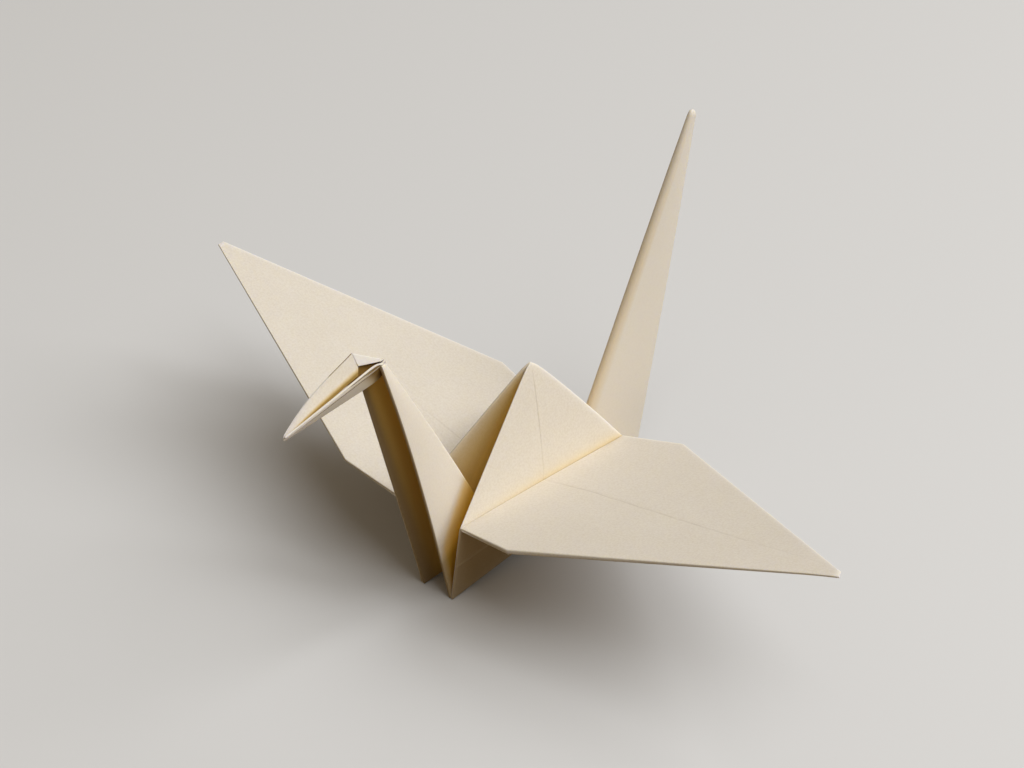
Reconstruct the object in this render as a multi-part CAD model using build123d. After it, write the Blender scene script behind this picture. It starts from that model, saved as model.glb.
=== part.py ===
import os
from math import cos, radians, sin, sqrt, tan

from build123d import *

# An origami crane: one square sheet of paper, folded and left as one piece. Lengths in millimetres.
# The crane looks along -Y, its left wing points along +X and Z is up. It stands on four folded corners.
# Where a value has two entries, 1 is the crane's left side and -1 its right side.

# The sheet
SHEET = 150.0  # side of the square before folding
PAPER = 0.12  # thickness of one layer
FOLD_LOSS = 0.006 * SHEET  # length that the roundness of the folds takes from a flap
FOOT_FLAT = 2.5 * PAPER  # how far the corners of the feet are pressed flat
SLIT = 3 * PAPER  # space between two raw edges that meet

# The body, opened a little by the wings: places are measured from the middle of the wing folds
WAIST_FRONT = 0.0327 * SHEET  # half the space between the wing folds at their front ends
WAIST_REAR = 0.0487 * SHEET  # the same at their rear ends
FOLD_FRONT_Z = 0.1133 * SHEET  # height of the wing folds at the front
FOLD_REAR_Z = {1: 0.1033 * SHEET, -1: 0.094 * SHEET}  # height at the rear
STAGGER = 0.0047 * SHEET  # the left wing sits this far back, the right wing this far forward
APEX_Y = 0.028 * SHEET  # the middle of the sheet, which is the peak of the back
APEX_Z = 0.2293 * SHEET
FOOT_FRONT_X = {1: 0.018 * SHEET, -1: 0.022 * SHEET}  # the front feet, from the middle
FOOT_FRONT_Y = -0.1113 * SHEET
FOOT_REAR_Y = 0.15 * SHEET
HOLE_FRONT_Y = -0.0187 * SHEET  # the opening in the belly, from the neck's root to the tail's root
HOLE_REAR_Y = 0.074 * SHEET
HOLE_Z = 0.0227 * SHEET
BELLY_Z = 0.0147 * SHEET  # height of the side walls' lower edge at that opening

# The neck, head and tail: channels folded in a V along their spine
CROWN_Y = -0.1767 * SHEET  # the upper end of the neck's spine
CROWN_Z = 0.3493 * SHEET
BROW_X = 0.0163 * SHEET  # where the neck's two open edges turn into the head
BROW_Y = -0.2 * SHEET
BROW_Z = 0.362 * SHEET
THROAT_DROP = 0.0213 * SHEET  # the head's spine starts this far below the crown, inside the neck
NECK_BOW = 0.0033 * SHEET  # the neck's spine bends back by this much half way up
HEAD_BOW = {1: 0.0005 * SHEET, -1: 0.005 * SHEET}  # how far the head's covers swell half way along
BEAK_Y = -0.308 * SHEET
BEAK_Z = 0.3295 * SHEET
TAIL_Y = 0.2733 * SHEET
TAIL_Z = 0.4227 * SHEET
TIP = 0.003 * SHEET  # half the width that the blunt tips keep

# The wings
WING_RISE = {1: 17.9, -1: 13.4}  # how far they rise from level, in degrees

# Layers of paper that lie on one another
HUMP_LAYERS = 1
GUSSET_LAYERS = 1
WALL_LAYERS = 4
WING_LAYERS = 2
COVER_LAYERS = 4

# Crease pattern: where the narrowing crease of a leg, an eighth of a right angle, crosses the other folds
narrow = tan(radians(90 / 8))
flap = tan(radians(90 / 4))
fold_half = SHEET * sqrt(0.5) * narrow / (1 + narrow)
shoulder_line = SHEET * flap * narrow / (flap + narrow)
shoulder_half = shoulder_line - FOLD_LOSS
shoulder_reach = shoulder_line / narrow - SHEET * sqrt(0.5) + fold_half - FOLD_LOSS
wing_reach = SHEET * (1 - sqrt(0.5)) + fold_half - FOLD_LOSS
notch = fold_half * (sqrt(2) - 1)

# Thickness of each pack of layers
hump = HUMP_LAYERS * PAPER
gusset = GUSSET_LAYERS * PAPER
wall = WALL_LAYERS * PAPER
wing = WING_LAYERS * PAPER
cover = COVER_LAYERS * PAPER


def plate(points, normal, low, high):
    """A flat panel: the polygon through the points, from low to high along its normal."""
    face = make_face(Polyline(*[p + normal * low for p in points], close=True))
    return extrude(face, amount=high - low, dir=normal)


def strip(start, end, normal, thick):
    """The section of a flat pack of layers, with a rounded fold at both ends."""
    along = (end - start).normalized()
    ring = []
    for centre, out in ((end - along * (thick / 2), 1), (start + along * (thick / 2), -1)):
        for turn in (-90, -45, 0, 45, 90):
            spoke = along * cos(radians(turn)) + normal * sin(radians(turn))
            ring.append(centre + spoke * (out * thick / 2))
    return make_face(Polyline(*ring, close=True))


def chevron(left, spine, right, thick):
    """The section of a V-shaped channel, with a rounded back and two legs of even thickness."""
    half = thick / 2
    axis = (spine - (left + right) * 0.5).normalized()
    down_left = (left - spine).normalized()
    down_right = (right - spine).normalized()
    out_left = (axis - down_left * axis.dot(down_left)).normalized()
    out_right = (axis - down_right * axis.dot(down_right)).normalized()
    inside = spine - axis * (half / axis.dot(out_left))
    ring = [left + out_left * half, spine + out_left * half, spine + axis * half,
            spine + out_right * half, right + out_right * half, right - out_right * half,
            inside, left - out_left * half]
    return make_face(Polyline(*ring, close=True))


def between(a, b, share):
    return a + (b - a) * share


apex = Vector(0, APEX_Y, APEX_Z)
hole_front = Vector(0, HOLE_FRONT_Y, HOLE_Z)
hole_rear = Vector(0, HOLE_REAR_Y, HOLE_Z)
crown = Vector(0, CROWN_Y, CROWN_Z)
brow = {side: Vector(side * BROW_X, BROW_Y, BROW_Z) for side in (1, -1)}
beak = Vector(0, BEAK_Y, BEAK_Z)
tail = Vector(0, TAIL_Y, TAIL_Z)
throat = crown + (hole_front - crown).normalized() * THROAT_DROP
fold_front = {s: Vector(s * WAIST_FRONT, s * STAGGER - fold_half, FOLD_FRONT_Z) for s in (1, -1)}
fold_rear = {s: Vector(s * WAIST_REAR, s * STAGGER + fold_half, FOLD_REAR_Z[s]) for s in (1, -1)}
foot_front = {s: Vector(s * FOOT_FRONT_X[s], FOOT_FRONT_Y, -FOOT_FLAT) for s in (1, -1)}
foot_rear = {}
pieces = []

for side in (1, -1):
    front = fold_front[side]
    rear = fold_rear[side]
    middle = between(front, rear, 0.5)
    along = (rear - front).normalized()

    # The side wall is flat: its plane goes through the wing fold and the front foot.
    outward = (foot_front[side] - front).cross(along).normalized() * side

    def on_wall(y, z):
        """The point of the side wall at this place along and above the floor."""
        off = (y - front.Y) * outward.Y + (z - front.Z) * outward.Z
        return Vector(front.X - off / outward.X, y, z)

    foot_rear[side] = on_wall(FOOT_REAR_Y, -FOOT_FLAT)
    panel = loft([strip(front, rear, outward, wall),
                  strip(foot_front[side], foot_rear[side], outward, wall)], ruled=True)
    arch = [foot_front[side], on_wall(HOLE_FRONT_Y, BELLY_Z), on_wall(HOLE_REAR_Y, BELLY_Z),
            foot_rear[side]]
    panel = panel - plate(arch, outward, -wall, wall)

    # The outer half of its layers is two narrow flaps. Their raw edges meet in a slit, and slant away from
    # each other above it.
    belly = on_wall((HOLE_FRONT_Y + HOLE_REAR_Y) / 2, BELLY_Z)
    down = (belly - middle).normalized()
    point = middle + down * notch
    gap = along * (SLIT / 2)
    past = down * wall
    recess = [middle - past - along * (notch + wall), middle - past + along * (notch + wall), point + gap,
              belly + past + gap, belly + past - gap, point - gap]
    pieces.append(panel - plate(recess, outward, 0, wall))

    # The back: one layer from the peak down to the wing fold
    face = (front - apex).cross(rear - apex).normalized()
    pieces.append(plate([apex, front, rear], face, -hump / 2, hump / 2))

    # The wing: a top layer, and two side layers folded in under it, whose raw edges meet along the middle
    level = Vector(side, 0, 0)
    level = (level - along * level.dot(along)).normalized()
    above = level.cross(along) * side
    rise = radians(WING_RISE[side])
    reach = level * cos(rise) + above * sin(rise)
    top = above * cos(rise) - level * sin(rise)
    root = middle - reach * wing
    shoulder = middle + reach * shoulder_reach
    tip = middle + reach * wing_reach
    blade = loft([strip(root - along * fold_half, root + along * fold_half, top, wing),
                  strip(shoulder - along * shoulder_half, shoulder + along * shoulder_half, top, wing),
                  strip(tip - along * TIP, tip + along * TIP, top, wing)], ruled=True)
    seam = [root - gap, tip + reach - gap, tip + reach + gap, root + gap]
    pieces.append(blade - plate(seam, top, -wing, 0))

    # Under the wing the narrow flaps run on from the wall to the shoulders.
    for turn, end in ((-1, front), (1, rear)):
        corner = shoulder + along * (turn * (shoulder_half - PAPER))
        pieces.append(plate([end, corner, middle + along * (turn * notch)], top,
                            -wing / 2 - 2 * PAPER, -wing / 4))

# The gussets: one layer that sinks in a valley between the two sides, from the peak to the belly
for ends, feet, hole in ((fold_front, foot_front, hole_front), (fold_rear, foot_rear, hole_rear)):
    start = [between(apex, ends[1], 0.02), between(apex, hole, 0.02), between(apex, ends[-1], 0.02)]
    waist = [ends[1], between(apex, hole, 0.5), ends[-1]]
    base = [feet[1], hole, feet[-1]]
    pieces.append(loft([chevron(*start, gusset), chevron(*waist, gusset), chevron(*base, gusset)],
                       ruled=True))

# The neck: spine at the back, open in front
bow = Vector(0, CROWN_Z - HOLE_Z, HOLE_FRONT_Y - CROWN_Y).normalized() * NECK_BOW
bend = [between(foot_front[1], brow[1], 0.5), between(hole_front, crown, 0.5) + bow,
        between(foot_front[-1], brow[-1], 0.5)]
pieces.append(loft([chevron(foot_front[1], hole_front, foot_front[-1], cover), chevron(*bend, cover),
                    chevron(brow[1], crown, brow[-1], cover)], ruled=True))

# The head: the neck's end, turned inside out, so that its spine is the throat and it is open on top
lift = Vector(0, 0, TIP)
wide = Vector(TIP * 0.6, 0, 0)
swell = {s: between(brow[s], beak, 0.6) + Vector(s * HEAD_BOW[s], 0, HEAD_BOW[s] / 2) for s in (1, -1)}
pieces.append(loft([chevron(brow[1], throat, brow[-1], cover),
                    chevron(swell[1], between(throat, beak, 0.6), swell[-1], cover * 0.85),
                    chevron(beak + lift + wide, beak - lift * 0.2, beak + lift - wide, cover * 0.6)],
                   ruled=True))

# The tail: spine in front, open behind
lean = (tail - hole_rear).normalized()
back = Vector(0, lean.Z, -lean.Y) * TIP
pieces.append(loft([chevron(foot_rear[1], hole_rear, foot_rear[-1], cover),
                    chevron(tail + back * 1.4 + wide, tail - back * 0.2, tail + back * 1.4 - wide,
                            cover * 0.6)], ruled=True))

# One sheet: everything joins. The feet are flat where they touch the floor.
crane = pieces[0].fuse(*pieces[1:])
crane = crane - Pos(0, 0, -SHEET) * Box(2 * SHEET, 2 * SHEET, 2 * SHEET)
box = crane.bounding_box()
crane = Pos(-box.center().X, -box.center().Y, -box.min.Z) * crane
os.makedirs("parts", exist_ok=True)
export_step(crane, "parts/folded_crane.step")
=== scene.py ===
import bpy
import numpy as np
from mathutils import Matrix


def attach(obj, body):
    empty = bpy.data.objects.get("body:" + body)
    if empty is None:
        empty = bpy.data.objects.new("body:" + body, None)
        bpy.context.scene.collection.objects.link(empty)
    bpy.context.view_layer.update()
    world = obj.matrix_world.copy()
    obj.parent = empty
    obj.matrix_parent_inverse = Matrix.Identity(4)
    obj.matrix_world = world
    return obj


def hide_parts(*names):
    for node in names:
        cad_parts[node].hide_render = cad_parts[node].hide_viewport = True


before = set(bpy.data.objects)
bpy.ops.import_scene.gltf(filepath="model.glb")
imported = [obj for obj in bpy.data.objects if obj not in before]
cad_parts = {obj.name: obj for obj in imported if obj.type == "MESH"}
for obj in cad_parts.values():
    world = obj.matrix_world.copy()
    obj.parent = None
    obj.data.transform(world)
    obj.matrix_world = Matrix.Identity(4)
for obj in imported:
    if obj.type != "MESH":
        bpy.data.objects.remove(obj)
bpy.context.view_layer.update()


# The sheet
# The crane is one square of uncoated cream paper, folded by hand and held by its creases alone.
# Lengths are in millimetres, from the middle between the wing folds, with the beak along -Y and the left
# wing along +X. 1 is the crane's left side and -1 its right side.
sheet = 150.0
paper = 0.12
frame_origin = np.array([0.636, 2.298, 0.0])

# Crease pattern: where the narrowing crease of a leg, an eighth of a right angle, crosses the other folds
narrow = np.tan(np.radians(90 / 8))
flap = np.tan(np.radians(90 / 4))
fold_loss = 0.006 * sheet
fold_half = sheet * np.sqrt(0.5) * narrow / (1 + narrow)
shoulder_line = sheet * flap * narrow / (flap + narrow)
shoulder_half = shoulder_line - fold_loss
shoulder_reach = shoulder_line / narrow - sheet * np.sqrt(0.5) + fold_half - fold_loss
wing_reach = sheet * (1 - np.sqrt(0.5)) + fold_half - fold_loss
notch = fold_half * (np.sqrt(2) - 1)
tip_half = 0.003 * sheet
slit_half = 1.5 * paper

# Corners of the folded body: the ends of the belly's opening and of the wing folds, and the feet
hole = {"front": sheet * np.array([0, -0.0187, 0.0227]), "rear": sheet * np.array([0, 0.074, 0.0227])}
fold_end = {
    (1, "front"): sheet * np.array([0.0327, 0.0047, 0.1117]) - [0, fold_half, 0],
    (-1, "front"): sheet * np.array([-0.0327, -0.0047, 0.1133]) - [0, fold_half, 0],
    (1, "rear"): sheet * np.array([0.0500, 0.0047, 0.1017]) + [0, fold_half, 0],
    (-1, "rear"): sheet * np.array([-0.0487, -0.0047, 0.094]) + [0, fold_half, 0],
}
foot_rise = 2 * paper
foot = {
    (1, "front"): np.array([0.0158 * sheet, -0.1105 * sheet, foot_rise]),
    (-1, "front"): np.array([-0.0241 * sheet, -0.1133 * sheet, foot_rise]),
}
foot_rear_y = 0.15 * sheet
belly_rise = 0.0147 * sheet

layers = []
round_rim = ((0.7, 0.7), (1.0, 0.1))


def unit(vector):
    """Each vector divided by its own length."""
    return vector / np.maximum(np.linalg.norm(vector, axis=-1, keepdims=True), 1e-9)


def along_line(start, end, share):
    """Points at the given shares of the straight line from start to end."""
    return start + (end - start) * np.asarray(share)[..., None]


def crowded(count):
    """Shares from 0 to 1 that crowd towards both ends, as half a turn of a cosine does."""
    return 0.5 - 0.5 * np.cos(np.linspace(0, np.pi, count))


def two_faces(middle, thick, ring=False):
    """The paper's two faces: the middle surface moved half the thickness along and against its normal,
    which is the cross product of the grid's two directions."""
    down = np.gradient(middle, axis=0)
    if ring:
        across = (np.roll(middle, -1, axis=1) - np.roll(middle, 1, axis=1)) / 2
    else:
        across = np.gradient(middle, axis=1)
    normal = unit(np.cross(down, across))
    half = np.asarray(thick) / 2 * np.ones(middle.shape[:2])
    return middle + normal * half[..., None], middle - normal * half[..., None]


def marked(fold, golden_shade=0.0, painted_shade=0.0):
    """The paper's marks at each grid point: pale where worn by a fold and as painted highlight, golden
    painted shade in a valley and dark painted shade in a gap, crease or pocket.
    """
    return np.stack(np.broadcast_arrays(fold, golden_shade, painted_shade), -1)


def add_layer(upper, lower, mark, inner=None, ring=False, rim=round_rim):
    """Closes two matching grids into one layer of paper. The edges that are open get two more rows each, by
    the rim's pairs of how far out they lie and how much of the thickness they keep, so the rim is round.
    With ring the columns meet and the first row is a peak. The lower face has the marks of inner, if given,
    and otherwise those of the upper face."""
    mark = np.concatenate([mark, mark if inner is None else inner], -1)
    middle = (upper + lower) / 2
    half = (upper - lower) / 2
    (near_out, near_thick), (far_out, far_thick) = rim
    for axis in ((0,) if ring else (0, 1)):
        line = np.moveaxis(middle, axis, 0)
        thick = np.moveaxis(half, axis, 0)
        tint = np.moveaxis(mark, axis, 0)
        size = np.linalg.norm(thick, axis=-1, keepdims=True)
        first = unit(line[:1] - line[1:2]) * size[:1]
        last = unit(line[-1:] - line[-2:-1]) * size[-1:]
        if ring:
            line = np.concatenate([line, line[-1:] + last * near_out, line[-1:] + last * far_out])
            thick = np.concatenate([thick, thick[-1:] * near_thick, thick[-1:] * far_thick])
            tint = np.concatenate([tint, tint[-1:], tint[-1:]])
        else:
            line = np.concatenate([line[:1] + first * far_out, line[:1] + first * near_out, line,
                                   line[-1:] + last * near_out, line[-1:] + last * far_out])
            thick = np.concatenate([thick[:1] * far_thick, thick[:1] * near_thick, thick,
                                    thick[-1:] * near_thick, thick[-1:] * far_thick])
            tint = np.concatenate([tint[:1], tint[:1], tint, tint[-1:], tint[-1:]])
        middle = np.moveaxis(line, 0, axis)
        half = np.moveaxis(thick, 0, axis)
        mark = np.moveaxis(tint, 0, axis)
    rows, columns = mark.shape[:2]
    top = np.arange(rows * columns).reshape(rows, columns)
    low = top + rows * columns
    if ring:
        top = np.concatenate([top, top[:, :1]], axis=1)
        low = np.concatenate([low, low[:, :1]], axis=1)
        edge = top[-1]
        edge_low = low[-1]
    else:
        edge = np.concatenate([top[:, 0], top[-1, 1:], top[-2::-1, -1], top[0, -2::-1]])
        edge_low = np.concatenate([low[:, 0], low[-1, 1:], low[-2::-1, -1], low[0, -2::-1]])
    faces = [np.stack([top[:-1, :-1], top[1:, :-1], top[1:, 1:], top[:-1, 1:]], -1).reshape(-1, 4),
             np.stack([low[:-1, 1:], low[1:, 1:], low[1:, :-1], low[:-1, :-1]], -1).reshape(-1, 4),
             np.stack([edge[1:], edge[:-1], edge_low[:-1], edge_low[1:]], -1)]
    points = np.concatenate([(middle + half).reshape(-1, 3), (middle - half).reshape(-1, 3)])
    marks = np.concatenate([mark[..., :3].reshape(-1, 3), mark[..., 3:].reshape(-1, 3)])
    if ring:
        peak = len(points)
        points = np.concatenate([points, (middle + half)[:1].mean(1), (middle - half)[:1].mean(1)])
        # The peak's centre is painted pale: a painted highlight.
        marks = np.concatenate([marks, [[1.0, 0.0, 0.0], [1.0, 0.0, 0.0]]])
        faces += [np.stack([np.full(columns, peak), top[0, :-1], top[0, 1:]], -1),
                  np.stack([np.full(columns, peak + 1), low[0, 1:], low[0, :-1]], -1)]
    layers.append((points, faces, marks))


# The wings and the side walls
# Each wing is a flap of the sheet whose two long sides are folded in under it until their raw edges meet
# along the middle. It bends at the wing fold and runs on down the body as the side wall.
ends = (("front", -1), ("rear", 1))
wing_rise = {1: np.radians(17.9), -1: np.radians(13.4)}
wall_height = 17.0
bend = 0.16
layer_gap = 0.15
lip = {1: 0.55, -1: 0.25}  # how far the wing's lower layer hangs open at the front of the shoulder
rear_lip = 0.25  # the same at the rear, as a share of that
tip_end = wing_reach - 0.35
tip_start = 0.9 * tip_end
tip_skew = {(1, "front"): 0.8, (1, "rear"): 0.0, (-1, "front"): 0.0, (-1, "rear"): 0.0}
shoulder_shift = {(1, "front"): 0.0, (1, "rear"): -0.45, (-1, "front"): 0.45, (-1, "rear"): -0.45}
shoulder_slack = {(1, "front"): 0.0, (1, "rear"): 0.0, (-1, "front"): 0.08, (-1, "rear"): 0.45}
sweep_back = {1: (0.6, 0.6), -1: (0.1, 0.65)}  # at the shoulder and at the tip
taper = (shoulder_half - tip_half) / (wing_reach - shoulder_reach)
wave_height = 0.12
crease_start = {1: 0.0, -1: -0.5}  # the crease's place behind the middle, at the wing fold
crease_drift = 1.3
crease_fade = {1: (1.0, 1.0, 0.2), -1: (0.6, 0.0, 0.0)}
crease_width = 0.10
crease_depth = 0.05
crease_shade = 0.22
flap_width = 12.0
flap_stand = 0.22
flap_lift = 0.28
flap_hang = {"front": 0.9, "rear": 0.22}
flap_painted_shade = (0.24, 0.5)
flap_crease_rise = 0.054 * sheet
flap_crease_slope = 0.12


def on_wall(corner, outward, y, z):
    """The point at y and z on the plane through a corner, across the direction outward."""
    off = (y - corner[1]) * outward[1] + (z - corner[2]) * outward[2]
    return np.array([corner[0] - off / outward[0], y, z])


for side in (1, -1):
    front = fold_end[side, "front"]
    rear = fold_end[side, "rear"]
    middle = (front + rear) / 2
    along = unit(rear - front)
    outward = unit(np.cross(foot[side, "front"] - front, along)) * side
    foot[side, "rear"] = on_wall(front, outward, foot_rear_y, foot_rise)
    level = unit(np.array([side, 0, 0]) - along * (along[0] * side))
    above = np.cross(level, along) * side
    reach = level * np.cos(wing_rise[side]) + above * np.sin(wing_rise[side])
    top = above * np.cos(wing_rise[side]) - level * np.sin(wing_rise[side])

    # Rows from the foot up the wall, round the wing fold and out to the tip, closest at the fold and tip. A
    # row has its front and its rear end and the direction of the paper's upper face. The fold is a parabola
    # between the two planes.
    drop = np.linspace(1, 0.04, 8) ** 0.8
    drop = drop * (1 - bend / wall_height) + bend / wall_height
    turn = np.linspace(0, 1, 9)[1:-1]
    shoulders = [shoulder_reach + shoulder_shift[side, name] for name, sign in ends]
    blade = np.linspace(bend + 0.9, tip_start, 30)[:-1]
    out = np.sort(np.concatenate([[bend], blade, shoulders, np.linspace(tip_start, tip_end, 8)]))
    row_end = {}
    shoulder_out = {}
    for name, sign in ends:
        end = fold_end[side, name]
        wall = along_line(end, foot[side, name], drop)
        shift = shoulder_shift[side, name]
        bends = [0, shoulder_reach + shift, wing_reach]
        shoulder_out[name] = shoulder_half - shoulder_slack[side, name] - taper * shift
        half_out = np.interp(out, bends, [fold_half, shoulder_out[name], tip_half])
        swept = np.interp(out, bends, [0, *sweep_back[side]])
        skew = tip_skew[side, name] * np.clip(out / wing_reach * 12 - 11, 0, 1) ** 2
        wing = middle + along * (sign * half_out + swept)[:, None] + reach * (out + skew)[:, None]
        curve = ((1 - turn) ** 2)[:, None] * wall[-1] + (2 * turn * (1 - turn))[:, None] * end
        row_end[name] = np.concatenate([wall, curve + (turn ** 2)[:, None] * wing[0], wing])
    lead = row_end["front"]
    trail = row_end["rear"]
    facing = np.concatenate([np.repeat([-outward], len(drop), 0),
                             unit(along_line(-outward, top, turn)), np.repeat([top], len(out), 0)])
    place = np.concatenate([-drop, np.zeros(len(turn)), out / wing_reach])
    on_wing = (place > 0)[:, None]
    width = np.linalg.norm(trail - lead, axis=-1)[:, None]

    # Across a row the paper goes from the middle along the underside to the front edge, round it, over the
    # top to the rear edge, round that and back under to the middle. The lower layer hangs a little open
    # at the front edge, most at the shoulder.
    swell = np.interp(place, [0, shoulder_reach / wing_reach, 1], [0.15, 1, 0.05])[:, None]
    open_front = layer_gap + lip[side] * swell * on_wing
    open_rear = layer_gap + rear_lip * lip[side] * swell * on_wing
    run = crowded(14)
    arc = np.linspace(0, np.pi, 15)[1:-1]
    bulge = np.sin(arc) ** 0.5
    tilt = np.sign(np.cos(arc)) * np.abs(np.cos(arc)) ** 0.5
    span = np.concatenate([crowded(34) / 2, 0.5 + crowded(34)[1:] / 2])
    near = open_front / 2
    far = width - open_rear / 2
    centre = width / 2
    from_front = np.concatenate([centre - slit_half + (near - centre + slit_half) * run, near - near * bulge,
                                 near + (far - near) * span, far + (width - far) * bulge,
                                 far + (centre + slit_half - far) * run], axis=1)
    flat = layer_gap / 2
    height = np.concatenate([-flat - (open_front - layer_gap) * run,
                             flat - near - near * tilt, flat + 0 * near * span,
                             flat - (width - far) + (width - far) * tilt,
                             -flat - (open_rear - layer_gap) * (1 - run)], axis=1)

    # A crease scored along the wing, darkened with painted shade, fades towards the tip, and the whole wing
    # waves a little.
    share = from_front / width
    on_top = np.zeros(from_front.shape[1])
    on_top[len(run) + len(arc):len(run) + len(arc) + len(span)] = 1
    score = centre + crease_start[side] + crease_drift * np.clip(place, 0, 1)[:, None]
    crease = np.exp(-((from_front - score) / crease_width) ** 2) * on_top
    crease = crease * np.interp(place, [0, 0.08, 0.45, 0.9], [0, *crease_fade[side]])[:, None]
    wave = wave_height * np.sin(5.2 * place + 1.3 * side)[:, None] * np.sin(np.pi * share) * on_wing
    grid = lead[:, None] + (trail - lead)[:, None] * share[..., None]
    grid = grid + facing[:, None] * (height - crease_depth * crease + wave)[..., None]

    # The wall's lower edge arches up from the feet to the opening in the belly.
    front_y = foot[side, "front"][1]
    arch = np.minimum((grid[..., 1] - front_y) / (hole["front"][1] - front_y),
                      (foot_rear_y - grid[..., 1]) / (foot_rear_y - hole["rear"][1]))
    arch = np.clip(arch, 0, 1) * np.clip(-place, 0, 1)[:, None]
    grid = grid + np.array([0, 0, belly_rise]) * arch[..., None]
    # The tip and the rear edge are pale: partly wear, partly painted highlight.
    wear_and_highlight = np.exp(-(1 - place) * wing_reach / 0.4)[:, None]
    wear_and_highlight = np.maximum(np.exp(-(width - from_front) / 0.25), wear_and_highlight)
    add_layer(*two_faces(grid, paper), marked(wear_and_highlight, 0.0, crease_shade * crease))

    # The narrow flaps lie over the outside of the wall, each with a slanting crease. Their raw edges meet
    # in a slit below the wing and slant away from it, and the paper runs on under the wing to the shoulder.
    belly = on_wall(front, outward, (hole["front"][1] + hole["rear"][1]) / 2, belly_rise + foot_rise)
    down = unit(belly - middle)
    for name, sign in ends:
        end = fold_end[side, name]
        toe = foot[side, name]
        slit = along * (sign * slit_half)
        notch_end = middle + along * (sign * notch)
        rows = np.linspace(0.02, 1, 70)
        columns = crowded(14)
        raw = np.array([notch_end, middle + down * notch + slit, belly + slit])
        raw_edge = np.stack([np.interp(rows, [0, 0.6, 1], raw[:, i]) for i in range(3)], -1)
        fold_edge = along_line(end, toe, rows)
        grid = fold_edge[:, None] + (raw_edge - fold_edge)[:, None] * columns[None, :, None]
        from_toe = np.abs(grid[..., 1] - toe[1])
        arched = np.clip(from_toe / abs(hole[name][1] - toe[1]), 0, 1)
        straight = np.clip(from_toe / abs(belly[1] - toe[1]), 0, 1)
        grid = grid + np.array([0, 0, belly_rise]) * ((arched - straight) * rows[:, None] ** 3)[..., None]
        fold_line = grid[..., 2] - flap_crease_rise + flap_crease_slope * sign * (grid[..., 1] - end[1])
        stand = flap_stand + flap_lift * columns[None] ** 4 * np.clip(rows[:, None] * 3, 0, 1)
        stand = stand + 0.10 * np.exp(-(fold_line / 0.2) ** 2)
        grid = grid + outward * stand[..., None]
        wear_and_highlight = np.exp(-(1 - columns) * flap_width / 0.5) + np.exp(-columns * flap_width / 0.4)
        wear_and_highlight = wear_and_highlight + np.exp(-(fold_line / 0.25) ** 2)
        # The flaps are painted golden and dark, painted shade for the wing's shadow; their edges and crease
        # are pale, partly wear and partly painted highlight.
        add_layer(*two_faces(grid, 2 * paper), marked(wear_and_highlight, *flap_painted_shade))

        shoulder = middle + along * (sign * (shoulder_out[name] - 0.25) + sweep_back[side][0])
        shoulder = shoulder + reach * (shoulder_reach + shoulder_shift[side, name])
        fan = np.linspace(0.03, 1, 8)
        sweep = np.linspace(0, 1, 16)
        ray = along_line(shoulder - end, notch_end - end, sweep)
        grid = end + fan[:, None, None] * ray[None]
        hang = lip[side] * flap_hang[name] * (fan[:, None] * (1 - sweep[None]))
        grid = grid - top * (layer_gap / 2 + 1.6 * paper + hang)[..., None]
        wear_and_highlight = np.exp(-sweep * flap_width / 0.5)[None] * np.ones((len(fan), 1))
        add_layer(*two_faces(grid, 1.8 * paper), marked(wear_and_highlight))


# The back and the gussets
# The middle of the sheet is the peak of the back. Its folds run out from there: four ridges to the ends of
# the wing folds, and between them a valley at the front and one at the rear, down to the belly.
peak = sheet * np.array([0, 0.028, 0.2293]) + [0, 0, 0.9]
peak_round = 0.05
peak_drop = 0.85
fold_round = 0.22
puff = 0.35
slope_length = 18.0
fold_reach = 17.0
stations = [fold_end[1, "front"], (fold_end[1, "front"] + fold_end[1, "rear"]) / 2, fold_end[1, "rear"],
            foot[1, "rear"], hole["rear"], foot[-1, "rear"], fold_end[-1, "rear"],
            (fold_end[-1, "front"] + fold_end[-1, "rear"]) / 2, fold_end[-1, "front"],
            foot[-1, "front"], hole["front"], foot[1, "front"]]
puffed = [0, 1, 1, 0, 0, 0, 1, 1, 0, 0, 0, 0]
shade_depth = [0, 0, 0, 0.2, 0.3, 0.2, 0, 0, 0, 0.7, 1, 0.7]
stretch = 30  # columns from one station to the next


def round_trip(values):
    """Values at the stations, and between them on straight lines, all the way round."""
    shares = crowded(stretch + 1)[:-1]
    following = values[1:] + values[:1]
    return np.concatenate([a + np.multiply.outer(shares, b - a) for a, b in zip(values, following)])


loop = round_trip(stations)
weight = round_trip(puffed)
golden_shade = round_trip(shade_depth)
step = np.linalg.norm(np.roll(loop, -1, 0) - loop, axis=1)
arc_length = np.concatenate([[0], np.cumsum(step)[:-1]])
apart = np.abs(arc_length[:, None] - arc_length[None])
apart = np.minimum(apart, step.sum() - apart)
size = (step + np.roll(step, 1)) / 2
radius = np.concatenate([np.geomspace(0.006, 0.2, 11), np.linspace(0.2, 0.85, 11)[1:],
                         np.linspace(0.85, 1, 9)[1:]])

# A row is the loop drawn in towards the peak, and then averaged along itself with a bell-shaped weight of
# one width, which rounds every fold alike and the peak with them. The two slopes swell a little outwards.
bell = np.exp(-0.5 * (apart[None] * radius[:, None, None] / fold_round) ** 2) * size[None, None]
bell = bell / bell.sum(2, keepdims=True)
drawn = np.einsum("kij,jc->kic", bell, loop - peak) * radius[:, None, None]
drawn[..., 2] -= peak_drop * np.exp(-radius / peak_round)[:, None]
swollen = puff * (4 * radius * (1 - radius))[:, None] * weight[None]
outwards = np.stack([0.9 * np.sign(loop[:, 0]), 0.35 * np.clip(loop[:, 1] / fold_reach, -1, 1),
                     np.full(len(loop), 0.45)], -1)
back = peak + drawn + swollen[..., None] * outwards[None]
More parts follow.
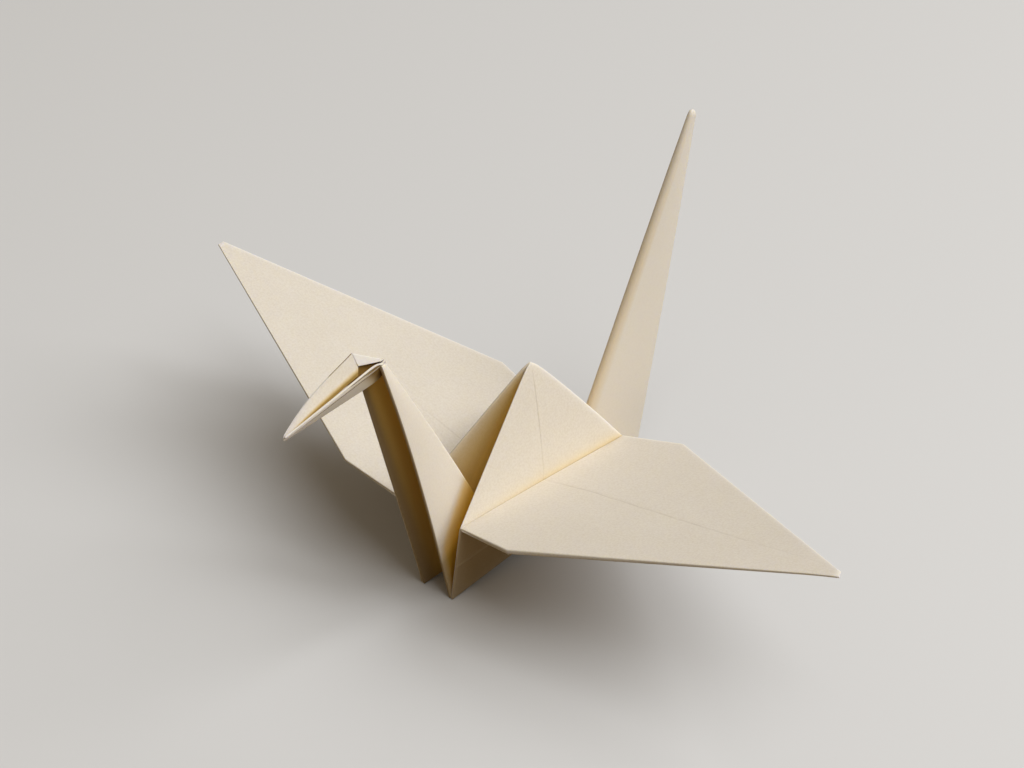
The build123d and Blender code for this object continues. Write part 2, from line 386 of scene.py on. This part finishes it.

# Marks: a painted highlight along three ridges, a painted shadow line along the right front ridge with
# painted shade on the strip beside it, a crease down the middle of each slope darkened with painted shade,
# golden painted shade in the front and rear valleys and at the foot of each slope, and a dark painted shade
# line along the wing fold.
ridges = ((0, 0.13, 0.35), (2, 0.4, 1.0), (6, 0.4, 1.0))
ridge_highlight = np.max([amount * np.exp(-apart[:, station * stretch] * radius[:, None] / broad)
                     for station, broad, amount in ridges], 0)
ridge_shadow_line = np.exp(-(apart[:, 8 * stretch] * radius[:, None] / 0.14) ** 2)
shaded_strip = np.interp(np.arange(len(loop)) / stretch, [8, 8.25, 8.6, 9], [0, 0.24, 0.24, 0])
shaded_strip = shaded_strip * np.clip(radius * 5, 0, 1)[:, None]
centre_line = np.minimum(apart[:, stretch], apart[:, 7 * stretch])
crease = np.exp(-(centre_line[None] * radius[:, None] / crease_width) ** 2)
crease = crease * np.clip(radius * 6 - 0.3, 0, 1)[:, None]
slope_foot_shade = np.exp(-(1 - radius) * slope_length / 0.9)[:, None] * weight[None]
wing_fold_shade_line = np.exp(-(1 - radius) * slope_length / 0.15)[:, None] * weight[None]
golden_shade_mark = 0.86 * np.sqrt(golden_shade)[None] * np.clip(radius / 0.08 - 0.5, 0, 1)[:, None]
golden_shade_mark = np.maximum(golden_shade_mark, 0.43 * slope_foot_shade)
dark_shade_mark = crease_shade * crease * np.interp(radius, [0.45, 0.8], [1, 0.3])[:, None]
dark_shade_mark = dark_shade_mark + 0.4 * wing_fold_shade_line + 0.35 * ridge_shadow_line + shaded_strip
upper, lower = two_faces(back, 1.2 * paper, ring=True)
sink = -crease_depth * crease[..., None] * unit(upper - lower)
add_layer(upper + sink, lower + sink, marked(ridge_highlight, golden_shade_mark, dark_shade_mark), ring=True)


# The neck, the head and the tail
# Three legs of the sheet, each folded lengthwise in a V of four layers a side. The neck is open in front,
# the tail behind, and the head is the neck's end turned inside out, so it is open on top.
hub_depth = 1.47  # from the spine in to the middle of its round fold, in radii of that fold
leg_count = 28
arc_count = 15


def add_channel(left, spine, right, thick, back, bow, close, shade_marks, pale_wear_and_highlight, rim=round_rim):
    """A V-shaped channel whose outer faces run through rows of left edges, spines and right edges. Across it
    are a straight leg, a round back and the other leg: the back is an arc of the given radius, set in from
    the spine so that its outline from the side passes there, and the legs are tangents from it to the edges.
    The legs swell by bow, and the section is drawn in about its middle by close. The shade marks give the
    golden and the dark painted shade of the outer and then of the inner face, from a share that is 0 at a
    leg's edge and 1 at the back, and one that is 1 on the left and 0 on the right. The pale levels say how
    pale the edges, the back and the rest
    are: partly wear, partly painted highlight and painted light."""
    close = (np.asarray(close) * np.ones(len(spine)))[:, None]
    core = (left + right) / 4 + spine / 2
    left, spine, right = (core + (line - core) * close for line in (left, spine, right))
    axis = unit(spine - (left + right) / 2)
    back = np.asarray(back).reshape(-1, 1) * close
    thick = np.asarray(thick).reshape(-1, 1) * close
    hub = spine - axis * back * hub_depth
    outs = []
    for edge in (left, right):
        to_edge = edge - hub
        distance = np.linalg.norm(to_edge, axis=-1, keepdims=True)
        heading = to_edge / distance
        beside = unit(axis - heading * (axis * heading).sum(-1, keepdims=True))
        ratio = np.clip(back / distance, 0, 0.95)
        outs.append(heading * ratio + beside * np.sqrt(1 - ratio ** 2))
    aside = unit(outs[1] - outs[0])
    aside = unit(aside - axis * (axis * aside).sum(-1, keepdims=True))
    swing = [np.arccos(np.clip((axis * out).sum(-1, keepdims=True), -1, 1)) for out in outs]
    angle = -swing[0] + (swing[0] + swing[1]) * np.linspace(0, 1, arc_count + 2)[None, 1:-1]
    spokes = axis[:, None] * np.cos(angle)[..., None] + aside[:, None] * np.sin(angle)[..., None]
    leg = crowded(leg_count)
    swell = (bow * np.sin(np.pi * leg))[None, :, None]
    faces = []
    for depth in (0 * thick, thick):
        legs = []
        for edge, out, share in ((left, outs[0], leg), (right, outs[1], leg[::-1])):
            line = edge[:, None] + (hub + out * back - edge)[:, None] * share[None, :, None]
            legs.append(line + out[:, None] * (swell - depth[:, None]))
        arc = hub[:, None] + spokes * np.maximum(back - depth, 0.02)[:, None]
        faces.append(np.concatenate([legs[0], arc, legs[1]], axis=1))
    inwards = np.concatenate([leg, np.ones(arc_count), leg[::-1]])[None]
    leftness = np.concatenate([np.ones(leg_count), np.linspace(1, 0, arc_count), np.zeros(leg_count)])[None]
    length = np.linalg.norm(left - spine, axis=-1)[:, None]
    wear_and_highlight = pale_wear_and_highlight[0] * np.exp(-inwards * length / 0.25)
    wear_and_highlight = np.maximum(wear_and_highlight, pale_wear_and_highlight[1] * np.exp(-(1 - inwards) * length / 0.2))
    # The rest of each face and the closing tip are painted pale too: painted light.
    wear_and_highlight = np.maximum(np.maximum(wear_and_highlight, pale_wear_and_highlight[2]), 1 - close)
    golden_shade, dark_shade, inner_golden_shade, inner_dark_shade = shade_marks(inwards + 0 * wear_and_highlight, leftness)
    add_layer(faces[0], faces[1], marked(wear_and_highlight, golden_shade, dark_shade), marked(wear_and_highlight, inner_golden_shade, inner_dark_shade), rim=rim)


cover = 4.4 * paper
flat_rim = ((0.15, 0.95), (0.25, 0.8))
crown = sheet * np.array([0, -0.1767, 0.3493])
brow = {1: sheet * np.array([0.0113, -0.1915, 0.3585]), -1: sheet * np.array([-0.0181, -0.2026, 0.3620])}
neck_hollow = {1: 0.0059 * sheet, -1: 0.0}
neck_bow = 0.0033 * sheet
rise = np.linspace(0, 0.99, 60)
neck_back = unit(np.array([0, crown[2] - hole["front"][2], hole["front"][1] - crown[1]]))
neck_spine = along_line(hole["front"], crown, rise) + neck_bow * neck_back * np.sin(np.pi * rise)[:, None]
neck_edge = {}
for side in (1, -1):
    straight = along_line(foot[side, "front"], brow[side], rise)
    curve = (np.sin(np.pi * rise ** 1.4) ** 0.6)[:, None]
    neck_edge[side] = straight + neck_hollow[side] * unit(neck_spine - straight) * curve


def neck_painted_shade(leg, left):
    """The neck's foot stands in the front valley, so its outside has golden painted shade there, up to a line
    that climbs towards its back, and dark painted shade at the foot. Its inside is a narrow slit with golden
    painted shade in its depth and dark painted shade, darkest along its edge and foot."""
    up = rise[:, None]
    shade_depth = 0.17 + 0.18 * leg ** 0.6 - up
    golden_shade_mark = np.clip(shade_depth / 0.03 + 0.5, 0, 1) * (0.5 + 0.42 * np.clip(shade_depth / 0.08, 0, 1))
    golden_shade_mark = golden_shade_mark * np.interp(leg, [0, 0.12], [0.3, 1])
    slit = np.clip((0.99 - up) / 0.03, 0, 1)
    edge = 0.12 + 0.58 / (1 + (leg / 0.17) ** 4) + 0.04 * np.clip((0.45 - up) / 0.3, 0, 1)
    inside = np.interp(leg, [0.03, 0.17, 0.45], [0.25, 0.7, 0.8])
    return golden_shade_mark, 0.4 * np.clip((0.19 - up) / 0.04, 0, 1), inside * slit, edge * slit


add_channel(neck_edge[1], neck_spine, neck_edge[-1], cover, cover + 0.03, bow=0.10, close=1.0,
            shade_marks=neck_painted_shade, pale_wear_and_highlight=(0.0, 0.4, 0.4), rim=flat_rim)

# The head's covers go on from the neck's legs. Inside them lie the sheet's other layers: a strip turned over
# along the right brow, a lining that starts below it with a gap between, and a lining on the left.
beak = sheet * np.array([0, -0.308, 0.3295])
throat = crown + unit(hole["front"] - crown) * 0.0213 * sheet
head_bow = {1: 0.0005 * sheet, -1: 0.0036 * sheet}
nod = np.concatenate([np.linspace(0, 0.25, 23), np.linspace(0.25, 0.96, 20)[1:],
                      np.linspace(0.96, 1, 10)[1:]])
head_spine = along_line(throat, beak + [0, 0, -0.2], nod) + (crown - throat) * np.exp(-nod / 0.05)[:, None]
head_edge = {}
bowed = {}
for side in (1, -1):
    end = beak + np.array([side * 0.25, 0, 0.45])
    bowed[side] = (np.sin(np.pi * nod ** 1.2) * head_bow[side])[:, None] * np.array([side, 0, 0.5])
    head_edge[side] = along_line(brow[side], end, nod) + bowed[side]


def head_painted_shade(leg, left):
    """Painted shade darkens the head's root, inside its gap and outside where the neck's leg shades it, with
    some golden painted shade there too. Thin lines of painted shade along the cut edges and the fold fade
    towards the beak."""
    root = (nod < 0.3)[:, None] * np.ones_like(leg)
    shade_lines = (0.45 * np.exp(-leg / 0.01) + 0.3 * (leg > 0.99)) * np.sqrt(1 - nod)[:, None]
    root_shadow = left / (1 + (nod[:, None] / 0.165) ** 6) + (1 - left) * 0.6 * np.exp(-nod / 0.05)[:, None]
    return 0.5 * root_shadow + 0.04 * left, np.maximum(shade_lines, root_shadow), 0.0, np.maximum(root, shade_lines)


head_layer = (1.8 - 0.5 * nod) * paper
head_close = np.sqrt(np.clip(1 - np.clip((nod - 0.97) / 0.03, 0, 1) ** 2, 0.03, 1))
# The head is painted pale all over: painted light.
add_channel(head_edge[1], head_spine, head_edge[-1], head_layer, head_layer + 0.03, bow=0.04,
            close=head_close, shade_marks=head_painted_shade, pale_wear_and_highlight=(0.0, 0.0, 1.0))

gap_top = sheet * np.array([-0.0100, -0.2023, 0.3518])
gap_low = sheet * np.array([-0.0060, -0.2064, 0.3446])
lift = np.array([0.30, 0, 0.17])
strip_top = along_line(brow[-1] + lift, crown + lift / 3, crowded(24))
strip_low = along_line(gap_top + lift / 2, crown + lift / 3, crowded(24))
strip = along_line(strip_top, strip_low, np.linspace(0, 1, 9)[:, None])
# The strip is painted pale: partly wear along its fold, partly painted highlight.
add_layer(*two_faces(strip, 1.2 * paper), marked(0.7 * np.ones(strip.shape[:2])))

lined = slice(None, -4)  # the linings end short of the beak's tip
depth = crowded(26)
corners = np.array([brow[-1] + 0.9 * lift, gap_top, gap_low])
begin = np.stack([np.interp(depth, [0, 0.55, 1], corners[:, i]) for i in range(3)], -1)
end = along_line(beak + [-0.14, 0, 0.42], beak + [-0.03, 0, 0.05], depth)
lining = along_line(begin[None], end[None], nod[lined, None])
lining = lining + bowed[-1][lined, None] * (1 - depth)[None, :, None]
# Golden and dark painted shade deepen towards the lining's groove.
groove = np.clip((depth[None] - 0.58) / 0.3, 0, 1)
add_layer(*two_faces(lining, 1.2 * paper), marked(0 * lining[..., 0], 0.7 * groove, 0.75 * groove ** 2))

share = nod[lined, None]
sag = np.array([0.10, 0, 1.3]) * (1 - 0.75 * share) * (1 - np.exp(-share / 0.08))
inset = np.array([-0.45, 0, 0.22]) * (1 - 0.7 * share) * (1 - np.exp(-share / 0.03))
top_edge = head_edge[1][lined] + inset
lining = along_line(head_spine[lined, None] + sag[:, None], top_edge[:, None], (1 - depth)[None])
# This lining's top edge is painted pale, partly wear and partly painted highlight, and its depth has golden
# painted shade.
golden_shade_mark = 0.47 * depth[None] ** 2 * np.clip(share / 0.1, 0, 1)
wear_and_highlight = 0.45 * np.exp(-depth[None] * 4 / 0.5)
add_layer(*two_faces(lining, 2.8 * paper), marked(wear_and_highlight + 0 * golden_shade_mark, golden_shade_mark))

# The cover's left edge is doubled by a narrow hem on its outside. The hem is painted pale and a little
# golden, with a painted shadow line under its cut edge and painted shade near the root.
hemmed = slice(2, -6)
share = nod[hemmed, None]
leg_down = unit(head_spine - head_edge[1])[hemmed]
leg_out = unit(np.cross(np.gradient(head_edge[1], axis=0)[hemmed], leg_down))
leg_out = leg_out * np.sign(leg_out[:, :1])
hem_wide = 0.0044 * sheet * (1 - 0.75 * share) * (1 - np.exp(-share / 0.03))
across_hem = np.linspace(0, 1, 13)
hem = head_edge[1][hemmed, None] + (leg_down * hem_wide)[:, None] * across_hem[None, :, None]
hem = hem + leg_out[:, None] * (0.045 + 0.015 * across_hem)[None, :, None]
under = np.clip((across_hem - 0.66) / 0.14, 0, 1)[None] * np.clip((0.9 - share) / 0.3, 0, 1)
shadow = np.maximum(under, 0.8 * np.exp(-share / 0.07))
add_layer(*two_faces(hem, 0.35 * paper), marked(0.35 * np.ones_like(under), 0.12, shadow))

tail_tip = sheet * np.array([0, 0.2733, 0.4240])
lean = unit(tail_tip - hole["rear"])
behind = np.array([0, lean[2], -lean[1]])
climb = np.concatenate([np.linspace(0, 0.97, 30), np.linspace(0.97, 1, 12)[1:]])
tail_bow = (0.30 + 0.3 * np.sin(np.pi * climb))[:, None] * behind
tail_spine = along_line(hole["rear"], tail_tip, climb) - 0.15 * behind
tail_edge = {}
for side in (1, -1):
    end = tail_tip + behind * 1.1 + [side * 0.32, 0, 0]
    tail_edge[side] = along_line(foot[side, "rear"], end, climb) + tail_bow


def tail_painted_shade(leg, left):
    """The rounded fold down the front of the tail has a little golden and dark painted shade, less at the
    tip.
    """
    fold = np.clip((leg - 0.88) / 0.12, 0, 1)
    fold = fold * np.interp(climb, [0, 0.6, 1], [1, 1, 0.2])[:, None]
    return 0.17 * fold, 0.10 * fold, 0.0, 0.0


tail_layer = (3.0 - 0.8 * climb) * paper
tail_back = np.interp(climb, [0, 0.5, 0.85, 1], [0.6, 0.8, 0.75, 0.42])
tail_close = np.sqrt(np.clip(1 - np.clip((climb - 0.985) / 0.015, 0, 1) ** 2, 0.03, 1))
add_channel(tail_edge[1], tail_spine, tail_edge[-1], tail_layer, tail_back, bow=0.12, close=tail_close,
            shade_marks=tail_painted_shade, pale_wear_and_highlight=(0.7, 0.0, 0.65))


# Uncoated paper, about 90 grams a square metre: pulp felted on a wire, so its cream is faintly cloudy and
# fibrous, its surface dull with a fine tooth, and its fibres break and turn paler along folds and cut edges.
# The pale fold mark is partly that wear and partly painted highlight; the golden mark is painted shade for
# light that reaches the valleys through and off other paper, and the dark mark is painted shade in creases
# and gaps.
def linear(code):
    """An sRGB hex colour as linear light, with full alpha."""
    value = np.array([int(code[i:i + 2], 16) for i in (1, 3, 5)]) / 255
    value = np.where(value <= 0.04045, value / 12.92, ((value + 0.055) / 1.055) ** 2.4)
    return (*[float(v) for v in value], 1.0)


def add_node(material, kind, settings=None, links=None):
    """Adds one node, sets its properties and socket values, and links its inputs to other nodes' outputs.
    Sockets go by name, or by number where a Mix or Math node has several of one name."""
    node = material.node_tree.nodes.new(kind)
    for name, value in (settings or {}).items():
        if isinstance(name, str) and hasattr(node, name):
            setattr(node, name, value)
        else:
            node.inputs[name].default_value = value
    for name, (source, output) in (links or {}).items():
        material.node_tree.links.new(source.outputs[output], node.inputs[name])
    return node


cloud_mm = 9.0
fibre_mm = 0.35
tooth_mm = 0.22
paper_finish = bpy.data.materials.new("uncoated_cream_paper")
paper_finish.use_nodes = True
paper_finish.node_tree.nodes.clear()
where = add_node(paper_finish, "ShaderNodeTexCoord")
cloud = add_node(paper_finish, "ShaderNodeTexNoise", {"Scale": 1000 / cloud_mm, "Detail": 3.0},
                 {"Vector": (where, "Object")})
fibre = add_node(paper_finish, "ShaderNodeTexNoise",
                 {"Scale": 1000 / fibre_mm, "Detail": 4.0, "Roughness": 0.65}, {"Vector": (where, "Object")})
tooth = add_node(paper_finish, "ShaderNodeTexNoise", {"Scale": 1000 / tooth_mm, "Detail": 2.0},
                 {"Vector": (where, "Object")})
cream = add_node(paper_finish, "ShaderNodeMix",
                 {"data_type": "RGBA", 6: linear("#e4dbcc"), 7: linear("#eae2d5")},
                 {"Factor": (cloud, "Fac")})
fleck = add_node(paper_finish, "ShaderNodeValToRGB", None, {"Fac": (fibre, "Fac")})
fleck.color_ramp.elements[0].position = 0.32
fleck.color_ramp.elements[0].color = linear("#dcd3c4")
fleck.color_ramp.elements[1].position = 0.62
fleck.color_ramp.elements[1].color = linear("#ffffff")
tinted = add_node(paper_finish, "ShaderNodeMix",
                  {"data_type": "RGBA", "blend_type": "MULTIPLY", "Factor": 0.3},
                  {6: (cream, 2), 7: (fleck, "Color")})
# Three marks over the cream: pale for wear and painted highlight, golden painted shade, and dark painted
# shade.
for mark, colour in (("fold", "#fbf6ec"), ("golden_shade", "#f2c82f"), ("painted_shade", "#7a5d2a")):
    amount = add_node(paper_finish, "ShaderNodeAttribute", {"attribute_name": mark})
    tinted = add_node(paper_finish, "ShaderNodeMix", {"data_type": "RGBA", 7: linear(colour)},
                      {"Factor": (amount, "Fac"), 6: (tinted, 2)})
bump = add_node(paper_finish, "ShaderNodeBump", {"Strength": 0.35, "Distance": 0.00003},
                {"Height": (tooth, "Fac")})
shader = add_node(paper_finish, "ShaderNodeBsdfPrincipled",
                  {"Roughness": 0.88, "Specular IOR Level": 0.22, "IOR": 1.45, "Subsurface Weight": 0.4,
                   "Subsurface Scale": 0.0004, "Subsurface Radius": (1.0, 0.92, 0.50)},
                  {"Normal": (bump, "Normal"), "Base Color": (tinted, 2)})
add_node(paper_finish, "ShaderNodeOutputMaterial", None, {"Surface": (shader, "BSDF")})


# The folded crane
# All the layers together are the one sheet, which needs no glue or pin: the folds hold one another.
# The mesh is in metres, in the frame's own place.
points = []
faces = []
marks = []
count = 0
for layer_points, layer_faces, layer_marks in layers:
    points.append(layer_points)
    faces += [face for block in layer_faces for face in (block + count).tolist()]
    marks.append(layer_marks)
    count += len(layer_points)
mesh = bpy.data.meshes.new("paper_crane")
mesh.from_pydata(((np.concatenate(points) + frame_origin) / 1000).tolist(), [], faces)
for name, values in zip(("fold", "golden_shade", "painted_shade"), np.concatenate(marks).astype(np.float32).T):
    attribute = mesh.attributes.new(name, "FLOAT", "POINT")
    attribute.data.foreach_set("value", np.ascontiguousarray(values))
mesh.polygons.foreach_set("use_smooth", np.ones(len(mesh.polygons), bool))
mesh.set_sharp_from_angle(angle=np.radians(40))
mesh.materials.append(paper_finish)
crane = bpy.data.objects.new("paper_crane", mesh)
bpy.context.collection.objects.link(crane)
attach(crane, "root")
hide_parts("folded_crane")


# The floor
# A plain pale table top, wide enough to fill the view. Light that has bounced sees it darker than the camera
# does, so the crane's folds keep their depth.
def seen_ray(material):
    """One for the rays that show the background to the eye: straight, mirrored or through glass."""
    ray = add_node(material, "ShaderNodeLightPath")
    mirrored = add_node(material, "ShaderNodeMath", {"operation": "MAXIMUM"},
                        {0: (ray, "Is Glossy Ray"), 1: (ray, "Is Transmission Ray")})
    return add_node(material, "ShaderNodeMath", {"operation": "MAXIMUM"},
                    {0: (ray, "Is Camera Ray"), 1: (mirrored, "Value")})


floor_half = 4.0
floor_mesh = bpy.data.meshes.new("floor")
floor_corners = [(-floor_half, -floor_half, 0), (floor_half, -floor_half, 0), (floor_half, floor_half, 0),
                 (-floor_half, floor_half, 0)]
floor_mesh.from_pydata(floor_corners, [], [(0, 1, 2, 3)])
floor = bpy.data.objects.new("floor", floor_mesh)
bpy.context.collection.objects.link(floor)
floor_finish = bpy.data.materials.new("pale_table_top")
floor_finish.use_nodes = True
floor_finish.node_tree.nodes.clear()
tone = add_node(floor_finish, "ShaderNodeMix",
                {"data_type": "RGBA", 6: linear("#6c5838"), 7: linear("#d8d9da")},
                {"Factor": (seen_ray(floor_finish), "Value")})
matt = add_node(floor_finish, "ShaderNodeBsdfPrincipled", {"Roughness": 0.9, "Specular IOR Level": 0.1},
                {"Base Color": (tone, 2)})
add_node(floor_finish, "ShaderNodeOutputMaterial", None, {"Surface": (matt, "BSDF")})
floor_mesh.materials.append(floor_finish)


# The light
# A large soft box behind the crane's left wing, a weaker one high above that wing, and a dim even sky.
soft_box_size = 0.9
soft_box_distance = 1.4
for name, toward, watts in (("key", [0.5, 0.5, 0.71], 11.2), ("fill", [0.42, 0.0, 0.91], 8.9)):
    soft_box = bpy.data.lights.new(name, "AREA")
    soft_box.size = soft_box_size
    soft_box.energy = watts
    soft_box.color = (1.0, 1.0, 1.0)
    lamp = bpy.data.objects.new(name, soft_box)
    bpy.context.collection.objects.link(lamp)
    toward = unit(np.array(toward))
    lamp_right = unit(np.cross([0, 0, 1.0], toward))
    lamp_matrix = np.eye(4)
    lamp_matrix[:3, :3] = np.stack([lamp_right, np.cross(toward, lamp_right), toward], 1)
    lamp_matrix[:3, 3] = toward * soft_box_distance
    lamp.matrix_world = Matrix(lamp_matrix.tolist())

bounced_strength = 0.22
seen_strength = 0.7
world = bpy.data.worlds.new("even_sky")
bpy.context.scene.world = world
world.use_nodes = True
world.node_tree.nodes.clear()
strength = add_node(world, "ShaderNodeMix", {"data_type": "FLOAT", 2: bounced_strength, 3: seen_strength},
                    {"Factor": (seen_ray(world), "Value")})
sky = add_node(world, "ShaderNodeBackground", {"Color": linear("#ffeccf")}, {"Strength": (strength, 0)})
add_node(world, "ShaderNodeOutputWorld", None, {"Surface": (sky, "Background")})


# The camera
# It looks down on the crane from ahead of its left wing, through a short telephoto lens.
azimuth = np.radians(42.90)
elevation = np.radians(38.53)
camera_distance = 362.7
picture_width = 1024
focal_pixels = 2246
away = np.array([np.sin(azimuth) * np.cos(elevation), -np.cos(azimuth) * np.cos(elevation),
                 np.sin(elevation)])
right = np.array([np.cos(azimuth), np.sin(azimuth), 0])
target = np.array([-8.60, 9.32, 22.5]) + frame_origin
lens = bpy.data.cameras.new("view")
lens.sensor_width = 36.0
lens.lens = lens.sensor_width * focal_pixels / picture_width
lens.clip_start = 0.01
view = bpy.data.objects.new("view", lens)
bpy.context.collection.objects.link(view)
view_matrix = np.eye(4)
view_matrix[:3, :3] = np.stack([right, np.cross(away, right), away], 1)
view_matrix[:3, 3] = (target + away * camera_distance) / 1000
view.matrix_world = Matrix(view_matrix.tolist())
bpy.context.scene.camera = view

bpy.context.scene.view_settings.view_transform = "Standard"
